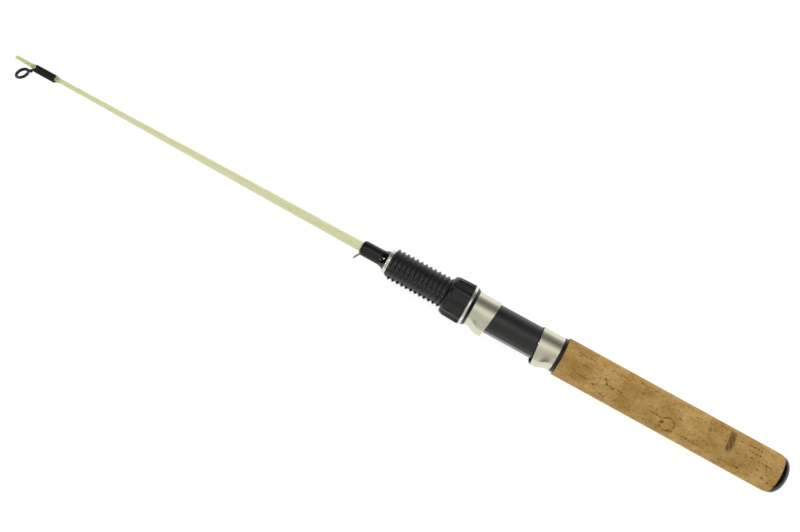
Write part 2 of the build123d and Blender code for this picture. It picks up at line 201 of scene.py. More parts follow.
bore = next(mount for mount in frame["record"]["mounts"] if mount["name"] == "tip_guide_bore")
ring_middle = Vector(bore["pos_m"])
ring_axis = -Vector(bore["axis"]).normalized()
ring_out = Vector((-ring_axis.y, ring_axis.x, 0)).normalized()
ring_bore = bore["dims"]["r_mm"] * MM
HOOP_R = 4.95 * MM
INSERT_R = 4.05 * MM
INSERT_HALF = 0.9 * MM
HOOP_HALF = 0.74 * MM
INTO_HOOP = 0.15 * MM
INTO_INSERT = 0.1 * MM
NECK_SHIFT = Vector((-1.2 * MM, 0.15 * MM, 0))
LEG_R = 0.5 * MM
LEG_Y = 1.8 * MM
LEG_APART = 0.6 * MM
BEAD_R = 1.28 * MM
BEAD_SQUASH = 0.95


def angles_round(count):
    """Equal steps of angle, once round."""
    return np.arange(count) * 2 * math.pi / count


def section(x, girth, angles):
    """A row of points round the rod's axis. The girth is a radius, or gives one at (x, angle)."""
    radii = [girth(x, a) if callable(girth) else girth for a in angles]
    return [(x, r * math.cos(a), r * math.sin(a)) for r, a in zip(radii, angles)]


def surface(name, rows, crease=30):
    """A closed skin through rows of points. Rows and columns both run round, back to their start."""
    rows = np.asarray(rows, float)
    count, around = rows.shape[:2]
    mesh = bpy.data.meshes.new(name)
    quads = [
        (i * around + j, i * around + (j + 1) % around, (i + 1) % count * around + (j + 1) % around,
         (i + 1) % count * around + j)
        for i in range(count)
        for j in range(around)
    ]
    mesh.from_pydata(rows.reshape(-1, 3).tolist(), [], quads)
    work = bmesh.new()
    work.from_mesh(mesh)
    bmesh.ops.remove_doubles(work, verts=work.verts, dist=0.0005 * MM)
    bmesh.ops.recalc_face_normals(work, faces=work.faces)
    work.to_mesh(mesh)
    work.free()
    smoothed(mesh, crease)
    return placed(name, mesh)


def eased(outline, radii):
    """A closed outline with its corners rounded, each by its own length along the sides."""
    points = [Vector(p) for p in outline]
    result = []
    for k, (corner, radius) in enumerate(zip(points, radii)):
        if radius == 0:
            result.append(tuple(corner))
            continue
        before, after = points[k - 1], points[(k + 1) % len(points)]
        start = corner + (before - corner).normalized() * radius
        end = corner + (after - corner).normalized() * radius
        for t in np.linspace(0, 1, 7):
            bend = start * (1 - t) ** 2 + corner * 2 * t * (1 - t) + end * t**2
            result.append(tuple(bend))
    return result


def turned(name, outline, around=128, crease=30):
    """A round piece on the rod's axis, from a closed outline of (x, radius) points."""
    angles = angles_round(around)
    return surface(name, [section(x, r, angles) for x, r in outline], crease)


def tube(name, route, radius, sides=12):
    """Round wire along a smooth curve that starts and ends at the route's first and last points."""
    curve = bpy.data.curves.new(name, "CURVE")
    curve.dimensions = "3D"
    curve.bevel_depth = radius
    curve.bevel_resolution = sides // 4
    curve.resolution_u = 10
    curve.use_fill_caps = True
    spline = curve.splines.new("NURBS")
    spline.points.add(len(route) - 1)
    for point, place in zip(spline.points, route):
        point.co = (*place, 1)
    spline.order_u = 4
    spline.use_endpoint_u = True
    holder = placed(name + "_route", curve)
    shape = holder.evaluated_get(bpy.context.evaluated_depsgraph_get())
    mesh = bpy.data.meshes.new_from_object(shape)
    bpy.data.objects.remove(holder)
    mesh.shade_smooth()
    return placed(name, mesh)


def joined(name, *pieces):
    """Several pieces as one mesh."""
    work = bmesh.new()
    for piece in pieces:
        work.from_mesh(piece.data)
        bpy.data.objects.remove(piece)
    mesh = bpy.data.meshes.new(name)
    work.to_mesh(mesh)
    work.free()
    smoothed(mesh, 35)
    return placed(name, mesh)


def round_the_bore(name, outline, around=96):
    """A ring about the guide's bore, from a closed outline of (radius, height) points."""
    side = ring_axis.cross(ring_out)
    rows = []
    for r, h in outline:
        row = []
        for k in range(around):
            a = 2 * math.pi * k / around
            row.append(ring_middle + ring_out * (r * math.cos(a)) + side * (r * math.sin(a)) + ring_axis * h)
        rows.append(row)
    return surface(name, rows, 40)


def rounded_band(inner, outer, half, points=28):
    """A plump band's outline between two radii, flattened a little where it is thickest."""
    middle, reach = (inner + outer) / 2, (outer - inner) / 2
    outline = []
    for k in range(points):
        a = 2 * math.pi * k / points
        lift = math.copysign(abs(math.sin(a)) ** 0.8, math.sin(a))
        outline.append((middle + reach * math.cos(a), half * lift))
    return outline


def black_wire():
    material, tree, shader = finish_of("black wire", Roughness=0.3, Specular_IOR_Level=0.45)
    grain = noise(tree, 900, 900, 900, 5)
    tone = ramp(tree, grain, (0.35, (0.006, 0.006, 0.006)), (0.75, (0.018, 0.017, 0.016)))
    tree.links.new(tone, shader.inputs["Base Color"])
    bumped(tree, shader, grain, 0.02 * MM, 0.5)
    return material


black_wire_finish = black_wire()

insert = round_the_bore("guide_insert", rounded_band(ring_bore, INSERT_R + INTO_HOOP, INSERT_HALF))
insert.data.materials.append(black_wire_finish)
fit(insert, "tip_guide_ring")

neck = ring_middle - ring_out * HOOP_R + NECK_SHIFT
wrap_low, wrap_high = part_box("tip_guide_wrap")
foot_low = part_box("tip_guide_frame")[0]
hoop = round_the_bore("hoop_wire", rounded_band(INSERT_R - INTO_INSERT, HOOP_R, HOOP_HALF))

# Each leg lies along the blank under the wrap, then bends out to the neck and crosses over there.
legs = []
for side in (-1, 1):
    across = side * LEG_APART
    legs.append(tube(f"leg_{side}", [
        (foot_low.x, LEG_Y, across),
        (wrap_high.x - 3 * MM, LEG_Y, across),
        (wrap_high.x - 0.4 * MM, LEG_Y, across),
        (wrap_high.x + 0.9 * MM, LEG_Y + 0.1 * MM, across * 0.95),
        (neck.x - 0.5 * MM, neck.y - 0.8 * MM, across * 0.7),
        (neck.x + 0.1 * MM, neck.y + 0.2 * MM, -across * 0.3),
        (neck.x + 0.9 * MM, neck.y + 0.9 * MM, -across * 1.3),
    ], LEG_R))

braze_rows = []
for turn in np.linspace(0, math.pi, 17):
    x = neck.x - BEAD_R * math.cos(turn)
    ring = section(x, BEAD_SQUASH * BEAD_R * math.sin(turn), angles_round(24))
    braze_rows.append([(x, neck.y + y, z) for x, y, z in ring])
braze = surface("braze", braze_rows, 60)
guide = joined("guide_frame_wire", hoop, braze, *legs)
guide.data.materials.append(black_wire_finish)
fit(guide, "tip_guide_frame")


# ---- The guide's wrap -------------------------------------------------------------------------
# Black thread wound tightly round the blank and the guide's foot, turn beside turn, then coated
# with clear epoxy that runs out on the blank at both ends.

THREAD_R = 0.09 * MM
LAID_R = 1.1 * THREAD_R
BAND_SCALE = 10 / (2 * math.pi)
RIDGE_R = 1.22 * MM
RIDGE_BLEND = 0.12 * MM
COAT = 0.126 * MM
COAT_FALL = 1.6
BLANK_REAR_R = 1.62 * MM
BLANK_FRONT_R = 1.47 * MM


def growth(name, result, **inputs):
    """A new geometry-nodes tree, and its inputs, listed by their kind."""
    tree = bpy.data.node_groups.new(name, "GeometryNodeTree")
    for kind, labels in inputs.items():
        for label in labels:
            tree.interface.new_socket(name=label, in_out="INPUT", socket_type="NodeSocket" + kind)
    tree.interface.new_socket(name=result, in_out="OUTPUT", socket_type="NodeSocketGeometry")
    return tree, tree.nodes.new("NodeGroupInput").outputs


def ended(tree, shape, finish):
    """Ends a tree: the shape's instances are made real and take their finish."""
    real = step(tree, "GeometryNodeRealizeInstances", Geometry=shape.outputs[0])
    done = step(tree, "GeometryNodeSetMaterial", Geometry=real.outputs[0], Material=finish)
    step(tree, "NodeGroupOutput", i0=done.outputs[0])
    return tree


def winding_tree():
    """Geometry nodes: thread of a given thickness laid along the curve that it is given."""
    tree, given = growth("thread winding", "Thread", Geometry=["Route"], Float=["Thread radius"],
                         Int=["Thread sides"], Material=["Finish"])
    profile = step(tree, "GeometryNodeCurvePrimitiveCircle", Radius=given["Thread radius"],
                   Resolution=given["Thread sides"])
    laid = step(tree, "GeometryNodeCurveToMesh", Curve=given["Route"], Profile_Curve=profile.outputs[0],
                Fill_Caps=True)
    return ended(tree, laid, given["Finish"])


def grown(name, tree, base=None, **values):
    """The plain mesh that a geometry-nodes tree makes from its named inputs."""
    holder = placed(name + "_seed", base or bpy.data.meshes.new(name + "_seed"))
    modifier = holder.modifiers.new("grow", "NODES")
    modifier.node_group = tree
    for socket in tree.interface.items_tree:
        label = socket.name.replace(" ", "_")
        if socket.in_out == "INPUT" and label in values:
            modifier[socket.identifier] = values[label]
    shape = holder.evaluated_get(bpy.context.evaluated_depsgraph_get())
    mesh = bpy.data.meshes.new_from_object(shape)
    holder.modifiers.remove(modifier)
    bpy.data.objects.remove(holder)
    mesh.name = name
    smoothed(mesh, 40)
    return placed(name, mesh)


def wound_route(name, start, end, girth, pitch, steps=44):
    """A curve that winds from start to end along X, where girth gives its radius at (x, angle)."""
    turns = round((end - start) / pitch)
    curve = bpy.data.curves.new(name, "CURVE")
    curve.dimensions = "3D"
    spline = curve.splines.new("POLY")
    spline.points.add(turns * steps)
    for k, point in enumerate(spline.points):
        a = 2 * math.pi * k / steps
        x = start + (end - start) * k / (turns * steps)
        r = girth(x, a)
        point.co = (x, r * math.cos(a), r * math.sin(a), 1)
    return curve


def thread_finish():
    material, tree, shader = finish_of("black thread", Roughness=0.5, Specular_IOR_Level=0.3)
    strands = noise(tree, 9000, 1500, 1500, 3)
    tone = ramp(tree, strands, (0.3, (0.003, 0.003, 0.003)), (0.75, (0.012, 0.012, 0.012)))
    tree.links.new(tone, shader.inputs["Base Color"])
    bumped(tree, shader, strands, 0.01 * MM, 0.4)
    return material


def clear_finish(name, tint):
    material, tree, shader = finish_of(
        name, Base_Color=(*tint, 1), Transmission_Weight=1.0, IOR=1.52, Roughness=0.04
    )
    waves = noise(tree, 200, 260, 260, 2)
    bumped(tree, shader, waves, 0.06 * MM, 0.25)
    return material


def coated_thread():
    """Thread that has soaked up its clear coat: near black, under a wet gloss."""
    material, tree, shader = finish_of(
        "coated thread", Roughness=0.3, Specular_IOR_Level=0.1, Coat_Weight=0.7, Coat_Roughness=0.04,
        Coat_IOR=1.45,
    )
    turns = step(tree, "ShaderNodeTexWave", {"bands_direction": "X"}, Vector=stretched(tree, 1, 1, 1),
                 Scale=BAND_SCALE / (2 * THREAD_R), Distortion=0.4)
    tone = ramp(tree, turns.outputs[0], (0.2, (0.002, 0.002, 0.002)), (0.9, (0.009, 0.009, 0.009)))
    tree.links.new(tone, shader.inputs["Base Color"])
    waves = noise(tree, 180, 420, 420, 2)
    bumped(tree, shader, waves, 0.12 * MM, 0.4)
    return material


def soaked(coat, rear, front):
    """Gives the part of a coat that lies over the thread its own finish."""
    coat.data.materials.append(thread_coated)
    for face in coat.data.polygons:
        if rear < face.center.x < front:
            face.material_index = 1


def ridged(angle, round_r, ridge_r):
    """The radius of a round section with a small round ridge over the guide's foot."""
    across = LEG_Y * math.sin(angle)
    ridge = 0.0
    if math.cos(angle) > 0 and abs(across) < ridge_r:
        ridge = LEG_Y * math.cos(angle) + math.sqrt(ridge_r**2 - across**2)
    fillet = 0.3 * RIDGE_BLEND * math.exp(-((round_r - ridge) / (2 * RIDGE_BLEND)) ** 2)
    return max(round_r, ridge) + fillet


winding = winding_tree()
thread_black = thread_finish()
clear = clear_finish("clear coat", (0.96, 0.95, 0.86))
thread_coated = coated_thread()
wrap_r = wrap_high.z - THREAD_R
wrap_start, wrap_end = wrap_low.x, wrap_high.x


def guide_wrap_girth(x, angle):
    """Round over the blank, with a ridge over the guide's foot, and the same at every x."""
    return ridged(angle, wrap_r, RIDGE_R - THREAD_R)


route = wound_route("guide_wrap_route", wrap_start + THREAD_R, wrap_end - THREAD_R, guide_wrap_girth,
                    2 * THREAD_R)
wrap = grown("guide_wrap_thread", winding, route, Thread_radius=LAID_R, Thread_sides=6,
             Finish=thread_black)
fit(wrap, "tip_guide_wrap")

coat_low, coat_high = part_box("tip_guide_epoxy")


def guide_coat_girth(x, angle):
    """Full over the wrap, and running out to the blank at both ends."""
    past = max(wrap_start - x, x - wrap_end, 0.0)
    run = wrap_start - coat_low.x if x < wrap_start else coat_high.x - wrap_end
    full = (1 - min(past / run, 1.0)) ** COAT_FALL
    body_r = BLANK_REAR_R if x < wrap_start else BLANK_FRONT_R
    skin = ridged(angle, wrap_r + THREAD_R + COAT, RIDGE_R + COAT)
    return body_r + (skin - body_r) * full


stations = np.concatenate([
    np.linspace(coat_low.x, wrap_start - 0.3 * MM, 12),
    np.linspace(wrap_start, wrap_end, 30),
    np.linspace(wrap_end + 0.3 * MM, coat_high.x, 12),
])
angles = angles_round(72)
coat_rows = [section(x, guide_coat_girth, angles) for x in stations]
coat_rows.insert(0, section(coat_low.x, 0, angles))
coat_rows.append(section(coat_high.x, 0, angles))
coat = surface("guide_wrap_coat", coat_rows, 80)
coat.data.materials.append(clear)
soaked(coat, wrap_start, wrap_end)
fit(coat, "tip_guide_epoxy")


# ---- The hook keeper --------------------------------------------------------------------------
# A U of bright steel wire that a hook is hung on. Its feet lie along the blank under a long black
# wrap, and thick clear epoxy flares out from the wrap against the trim ring.

keeper_low, keeper_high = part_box("keeper_wire")
KEEPER_R = 0.4 * MM
KEEPER_FOOT_Y = 3.33 * MM
FEET_RISE = 0.28 * MM
FEET_ANGLE = 0.45
FEET_SPREAD = 0.35
WRAP_ROUND = 2.2 * MM
WRAP_DROP = 1.25 * MM
FLARE_LENGTH = 5.0 * MM
SOAKED_FROM = 0.62 * FLARE_LENGTH
COAT_OVER = 0.3 * MM
COAT_AHEAD = 0.9 * MM
COAT_ROUND = 2.6 * MM
COAT_TIP_R = 3.3 * MM
keeper_half = keeper_high.z - KEEPER_R


def bright_steel(name, rough, grain_depth=0.01, tint=(0.66, 0.645, 0.53)):
    material, tree, shader = finish_of(name, Base_Color=(*tint, 1), Metallic=1.0)
    turned_marks = noise(tree, 5200, 160, 160, 4)
    smudge = noise(tree, 140, 140, 140, 3)
    gloss = step(tree, "ShaderNodeMapRange", Value=smudge, i3=rough * 0.8, i4=rough * 1.3)
    tree.links.new(gloss.outputs[0], shader.inputs["Roughness"])
    bumped(tree, shader, turned_marks, grain_depth * MM, 0.5)
    return material


wire_steel = bright_steel("bright wire", 0.2, tint=(0.45, 0.44, 0.40))
top_x, top_y = keeper_high.x - KEEPER_R, keeper_high.y - KEEPER_R
half_loop = [
    (keeper_low.x, KEEPER_FOOT_Y), (keeper_low.x + 6 * MM, KEEPER_FOOT_Y),
    (top_x - 4.5 * MM, KEEPER_FOOT_Y), (top_x - 2.9 * MM, KEEPER_FOOT_Y + 0.2 * MM),
    (top_x - 2.2 * MM, KEEPER_FOOT_Y + 1.6 * MM),
    (top_x - 0.9 * MM, top_y - 1.6 * MM), (top_x + 0.1 * MM, top_y + 0.15 * MM),
]
loop = [(x, y, -keeper_half) for x, y in half_loop]
loop += [(x, y, keeper_half) for x, y in reversed(half_loop)]
keeper = tube("keeper_loop", loop, KEEPER_R, 16)
keeper.data.materials.append(wire_steel)
fit(keeper, "keeper_wire")

wrap_low, wrap_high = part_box("keeper_wrap")
coat_low, coat_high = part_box("keeper_epoxy")
winding_r = wrap_high.z - THREAD_R
winding_front = coat_high.x - COAT_AHEAD


def keeper_wrap_girth(x, angle):
    """Round over the blank, a little fuller over the wire's feet, and rounded off in front."""
    away = math.pi - abs(angle % (2 * math.pi) - math.pi)
    feet = FEET_RISE * math.exp(-((away - FEET_ANGLE) / FEET_SPREAD) ** 2)
    near_front = min(max(0.0, (x - (winding_front - WRAP_ROUND)) / WRAP_ROUND), 1.0)
    return winding_r + feet - WRAP_DROP * (1 - math.sqrt(1 - near_front**2))


route = wound_route("keeper_wrap_route", wrap_low.x + THREAD_R, winding_front, keeper_wrap_girth,
                    2 * THREAD_R, 60)
wrap = grown("keeper_wrap_thread", winding, route, Thread_radius=LAID_R, Thread_sides=6,
             Finish=thread_black)
fit(wrap, "keeper_wrap")

plain_r = winding_r + COAT_OVER
angles = angles_round(96)
coat_rows = [section(coat_low.x, 0, angles)]
for x in np.linspace(coat_low.x, coat_high.x - 0.02 * MM, 44):
    left = max(0.0, 1 - (x - coat_low.x) / FLARE_LENGTH)
    full = plain_r + (coat_high.z - plain_r) * left**2
    ahead = max(0.0, (x - (coat_high.x - COAT_ROUND)) / COAT_ROUND)
    r = COAT_TIP_R + (full - COAT_TIP_R) * math.sqrt(max(0.0, 1 - ahead**2.2))
    coat_rows.append(section(x, r, angles))
coat_rows.append(section(coat_high.x, 0, angles))
coat = surface("keeper_wrap_coat", coat_rows, 80)
coat.data.materials.append(clear_finish("amber coat", (0.93, 0.91, 0.72)))
soaked(coat, wrap_low.x + SOAKED_FROM, coat_high.x)
fit(coat, "keeper_epoxy")


# ---- The front trim ring ----------------------------------------------------------------------
# A thin ring of polished metal that hides the joint between the seat and the wrap in front of it.
# Its bore fits the blank, and its two outer edges are eased.

FRONT_TRIM_BORE_R = 3.27 * MM


def trim_ring(name, part, bore_r, ease, finish, around=128):
    """A plain round ring in the place of a part, with its two outer edges eased."""
    low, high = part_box(part)
    outline = [(low.x, bore_r), (low.x, high.z), (high.x, high.z), (high.x, bore_r)]
    ring = turned(name, eased(outline, [0, ease, ease, 0]), around)
    ring.data.materials.append(finish)
    fit(ring, part)


trim_metal = bright_steel("polished trim", 0.12, tint=(0.72, 0.71, 0.66))
trim_ring("front_trim", "front_trim_ring", FRONT_TRIM_BORE_R, 0.5 * MM, trim_metal)


# ---- The reel seat ----------------------------------------------------------------------------
# A moulded tube of satin black plastic. Its front half has a coarse right-hand thread that is cut
# through by a keyway. Between the hoods it is plain, with a flat saddle for the reel's foot. Three
# bushes hold the blank in it.

seat_low, seat_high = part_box("seat_body")
PITCH = 3.18 * MM
THREAD_FOOT = 21.07 * MM
CREST_R = 10.3 * MM
ROOT_R = 9.15 * MM
PLAIN_FRONT = 19.0 * MM
SADDLE_Y = 9.8 * MM
KEY_HALF = 1.5 * MM
KEY_FLOOR = 8.95 * MM
KEY_STOP = 2.5 * MM
NOSE = 0.9 * MM
NOSE_R = 6.9 * MM
TENON_R = 9.0 * MM
SEAT_BORE_R = 7.85 * MM
BLANK_BORE_R = 4.75 * MM
FRONT_WALL = 3.5 * MM
RIDGE_SUNK = 0.26 * MM
CREST_EASE = 0.06 * MM
KEY_EDGE = 0.012
SADDLE_EDGE = 0.02
seat_r = seat_high.z
hood_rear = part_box("fixed_hood_shell")[0].x
cork_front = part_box("cork_ring_01")[1].x


def satin_black(name, tone, rough, grain=0.02, shine=0.5):
    """Moulded black plastic: a faint grain, and a little dust and handling on it."""
    material, tree, shader = finish_of(name, Specular_IOR_Level=shine)
    mould = noise(tree, 2600, 2600, 2600, 3)
    worn = noise(tree, 120, 260, 260, 4)
    dark = tuple(0.75 * c for c in tone)
    light = tuple(1.5 * c for c in tone)
    colour = ramp(tree, worn, (0.3, dark), (0.75, light))
    gloss = step(tree, "ShaderNodeMapRange", Value=worn, i3=rough * 0.85, i4=rough * 1.2)
    tree.links.new(colour, shader.inputs["Base Color"])
    tree.links.new(gloss.outputs[0], shader.inputs["Roughness"])
    bumped(tree, shader, mould, grain * MM, 0.5)
    return material


def thread_turn_tree():
    """Geometry nodes: the turns of a screw thread along Z, each broken where the keyway passes."""
    tree, given = growth(
        "thread turns", "Thread",
        Float=["Pitch", "Root radius", "Height", "Base width", "Crest width", "Corner", "Sweep", "Start"],
        Int=["Turns"], Material=["Finish"],
    )
    rise = step(tree, "ShaderNodeMath", {"operation": "MULTIPLY"}, i0=given["Pitch"], i1=given["Sweep"])
    turn = step(tree, "GeometryNodeCurveSpiral", Resolution=128, Rotations=given["Sweep"],
                Start_Radius=given["Root radius"], End_Radius=given["Root radius"],
                Height=rise.outputs[0])
    profile = step(tree, "GeometryNodeCurvePrimitiveQuadrilateral", {"mode": "TRAPEZOID"},
                   Bottom_Width=given["Base width"], Top_Width=given["Crest width"],
                   Height=given["Height"], Offset=0.0)
    soft = step(tree, "GeometryNodeFilletCurve", {"mode": "POLY"}, Curve=profile.outputs[0],
                Radius=given["Corner"], Count=3)
    upright = step(tree, "GeometryNodeTransform", Geometry=soft.outputs[0], Rotation=(0, 0, math.pi / 2))
    ridge = step(tree, "GeometryNodeCurveToMesh", Curve=turn.outputs[0], Profile_Curve=upright.outputs[0],
                 Fill_Caps=True)
    spacing = step(tree, "ShaderNodeCombineXYZ", Z=given["Pitch"])
    origin = step(tree, "ShaderNodeCombineXYZ", Z=given["Start"])
    places = step(tree, "GeometryNodeMeshLine", Count=given["Turns"], Start_Location=origin.outputs[0],
                  Offset=spacing.outputs[0])
    turns = step(tree, "GeometryNodeInstanceOnPoints", Points=places.outputs[0], Instance=ridge.outputs[0])
    return ended(tree, turns, given["Finish"])


seat_finish = satin_black("seat plastic", (0.014, 0.0155, 0.0155), 0.24)
key_angle = math.asin(KEY_HALF / CREST_R)
saddle_angle = math.acos(SADDLE_Y / seat_r)
edges = (key_angle, key_angle + KEY_EDGE, saddle_angle, saddle_angle + SADDLE_EDGE)
angles = sorted(
    {2 * math.pi * k / 144 for k in range(144)}
    | {side * edge % (2 * math.pi) for side in (-1, 1) for edge in edges}
)


def seat_radius(x, angle):
    """The seat's radius without its thread: plain, flattened by the saddle, and grooved by the keyway."""
    away = min(angle, 2 * math.pi - angle)
    if x < cork_front:
        return TENON_R
    if x > PLAIN_FRONT + 0.3 * MM:
        r = ROOT_R
        if x > seat_high.x - NOSE:
            fall = (x - (seat_high.x - NOSE)) / NOSE
            r = ROOT_R - (ROOT_R - NOSE_R) * (1 - math.sqrt(max(0.0, 1 - fall**2)))
        in_keyway = away < key_angle + KEY_EDGE / 2 and x < seat_high.x - KEY_STOP
        return min(r, KEY_FLOOR / math.cos(away)) if in_keyway else r
    r = seat_r
    on_saddle = hood_rear + 2 * MM < x and away < saddle_angle + SADDLE_EDGE / 2
    return min(r, SADDLE_Y / math.cos(away)) if on_saddle else r


stations = [seat_low.x, cork_front - 0.02 * MM, cork_front, hood_rear + 1.9 * MM, hood_rear + 2.1 * MM]
stations += list(np.linspace(-12 * MM, PLAIN_FRONT, 8)) + [PLAIN_FRONT + 0.35 * MM]
stations += list(np.linspace(PLAIN_FRONT + 4 * MM, seat_high.x - KEY_STOP - 0.05 * MM, 12))
stations += list(seat_high.x - NOSE * (1 - np.sin(np.linspace(-0.9, math.pi / 2, 12))))
rows = [section(x, seat_radius, angles) for x in stations]
for x, r in ((seat_high.x, BLANK_BORE_R), (seat_high.x - FRONT_WALL, BLANK_BORE_R),
             (seat_high.x - FRONT_WALL, SEAT_BORE_R), (seat_low.x, SEAT_BORE_R)):
    rows.append(section(x, r, angles))
seat = surface("seat_tube", rows, 25)
seat.data.materials.append(seat_finish)
fit(seat, "seat_body")

sweep = 1 - 2 * key_angle / (2 * math.pi)
ridge_height = CREST_R - ROOT_R + RIDGE_SUNK - CREST_EASE
thread = grown(
    "seat_thread", thread_turn_tree(), Pitch=PITCH, Root_radius=ROOT_R - RIDGE_SUNK + ridge_height / 2,
    Height=ridge_height, Base_width=2.4 * MM, Crest_width=0.9 * MM, Corner=0.34 * MM, Sweep=sweep,
    Start=THREAD_FOOT + PITCH * key_angle / (2 * math.pi), Turns=21, Finish=seat_finish,
)

# The tree winds along Z and counts its angles from X. The rod lies along X, with angles from Y.
along_rod = Matrix(((0, 0, 1, 0), (1, 0, 0, 0), (0, 1, 0, 0), (0, 0, 0, 1)))
thread.data.transform(along_rod @ Matrix.Rotation(key_angle, 4, "Z"))
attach(thread, "rod")

arbor_finish = satin_black("arbor foam", (0.5, 0.48, 0.42), 0.8, 0.1)
for place in ("front", "middle", "rear"):
    materials = frame["nodes"][f"seat_arbor_{place}"].data.materials
    materials.clear()
    materials.append(arbor_finish)


# ---- The hoods --------------------------------------------------------------------------------
# Each hood is a cap of polished stainless steel pressed into shape, with a smooth bulge over the
# pocket that takes one end of the reel's foot. A black plastic liner is pushed into it.

HOOD_WALL = 0.5 * MM
HOOD_SLANT = math.tan(math.radians(5.4))
MOUTH_CURVE_R = 73.0 * MM
BULGE = 2.46 * MM
BULGE_FROM = 1.2 * MM
BULGE_RUN = 8.2 * MM
hood_steel = bright_steel("hood steel", 0.17, 0.006)


def hood_cover(name, part, forward):
    """The pressed cover. Its mouth faces along X where forward is 1, and back where it is -1."""
    low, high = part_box(part)
    back_r = high.z
    closed_x = low.x if forward > 0 else high.x
    across_rise = back_r * HOOD_SLANT
    side_rise = back_r**2 / (2 * MOUTH_CURVE_R)
    length = high.x - low.x - (side_rise + across_rise**2 / (4 * side_rise) - across_rise)
    angles = angles_round(160)

    def swell(depth):
        """How far the bulge stands out at a depth from the closed end."""
        t = min(max((depth - BULGE_FROM) / BULGE_RUN, 0.0), 1.0)
        return BULGE * t * t * (3 - 2 * t)

    def point(fraction, angle, inset):
        """A point at a fraction of the way to the mouth, inset from the outside."""
        depth = fraction * length
        z = (back_r - inset) * math.sin(angle)
        for _ in range(4):
            reach = back_r - inset + (swell(depth) if math.cos(angle) > 0 else 0.0)
            stretch = reach / (back_r - inset)
            y = (back_r - inset) * math.cos(angle) * (stretch if math.cos(angle) > 0 else 1.0)
            depth = fraction * (length - (y + back_r) * HOOD_SLANT + z**2 / (2 * MOUTH_CURVE_R))
        return (closed_x + forward * depth, y, z)

    rows = []
    rim = HOOD_WALL / 2
    for fraction in np.linspace(0.0, 1.0, 34):
        rows.append([point(fraction * (1 - rim / length), a, 0.0) for a in angles])
    for turn in np.linspace(0, math.pi, 7)[1:-1]:
        past = rim * math.sin(turn) / length
        rows.append([point(1 - rim / length + past, a, rim * (1 - math.cos(turn))) for a in angles])
    for fraction in np.linspace(1.0, 0.0, 24):
        rows.append([point(fraction * (1 - rim / length), a, HOOD_WALL) for a in angles])
    cover = surface(name, rows, 40)
    cover.data.materials.append(hood_steel)
    fit(cover, part)


hood_cover("sliding_hood_cover", "moving_hood_shell", -1)
hood_cover("fixed_hood_cover", "fixed_hood_shell", 1)

liner_finish = satin_black("liner plastic", (0.008, 0.008, 0.008), 0.35, shine=0.4)
for part, name in (("moving_hood_liner", "sliding_hood_liner"), ("fixed_hood_liner", "fixed_hood_insert")):
    liner = dressed(part, name, 25)
    liner.data.materials.append(liner_finish)
    fit(liner, part)


# ---- The lock nut -----------------------------------------------------------------------------
# A moulded nut that draws the hood onto the reel's foot. Eight smooth flutes for the fingers lie
# between lands with a fine straight knurl, and a polished ring closes its rear face. The knurl's
# ridges are painted lighter than the rest of the nut, as a painted highlight on their crests.

nut_low, nut_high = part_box("lock_nut")
FLUTES = 8
RIDGE_DEPTH = 0.22 * MM
FLUTE_FIRST = math.radians(20)
FLUTE_R = 5.0 * MM
FLUTE_AXIS_R = 17.2 * MM
FLUTE_HALF = math.radians(12.4)
NUT_CHAMFER = 2.65 * MM
NUT_NOSE_DROP = 1.9 * MM
NUT_TAPER = 0.55 * MM
NUT_MOUTH_R = 10.6 * MM
NUT_BORE_FRONT_R = 10.5 * MM
NUT_BORE_REAR_R = 10.55 * MM
NUT_RECESS = 4 * MM
NUT_RECESS_R = 11.65 * MM
NUT_TRIM_BORE_R = 11.75 * MM
KNURL_INSET = 0.15 * MM
rear_r = nut_high.z
nut_length = nut_high.x - nut_low.x


def nut_girth(x, angle):
    """The nut's outer radius: a slight taper, a rounded nose, and the flutes."""
    along = (x - nut_low.x) / nut_length
    r = rear_r - NUT_TAPER * along - RIDGE_DEPTH
    into_nose = max(0.0, (x - (nut_high.x - NUT_CHAMFER)) / NUT_CHAMFER)
    r -= NUT_NOSE_DROP * (1 - math.sqrt(max(0.0, 1 - into_nose**1.8)))
    off = (angle - FLUTE_FIRST + math.pi / FLUTES) % (2 * math.pi / FLUTES) - math.pi / FLUTES
    across = FLUTE_AXIS_R * math.sin(off)
    if abs(across) < FLUTE_R:
        r = min(r, FLUTE_AXIS_R * math.cos(off) - math.sqrt(FLUTE_R**2 - across**2))
    return r


nut_finish = satin_black("nut plastic", (0.006, 0.006, 0.007), 0.3, shine=0.42)
# The knurl's ridges are the nut's own plastic, painted lighter here as a painted highlight on their crests.
ridge_highlight_finish = satin_black("nut ridge painted highlight", (0.022, 0.022, 0.023), 0.3)
angles = angles_round(320)
stations = list(np.linspace(nut_low.x, nut_high.x - NUT_CHAMFER, 8))
stations += list(nut_high.x - NUT_CHAMFER * (1 - np.sin(np.linspace(0, math.pi / 2, 12)))[1:])
rows = [section(x, nut_girth, angles) for x in stations]
for x, r in ((nut_high.x, NUT_MOUTH_R), (nut_high.x - 2 * MM, NUT_BORE_FRONT_R),
             (nut_low.x + NUT_RECESS, NUT_BORE_REAR_R), (nut_low.x + NUT_RECESS, NUT_RECESS_R),
             (nut_low.x, NUT_RECESS_R)):
    rows.append(section(x, r, angles))
nut = surface("nut_body", rows, 30)
nut.data.materials.append(nut_finish)
fit(nut, "lock_nut")


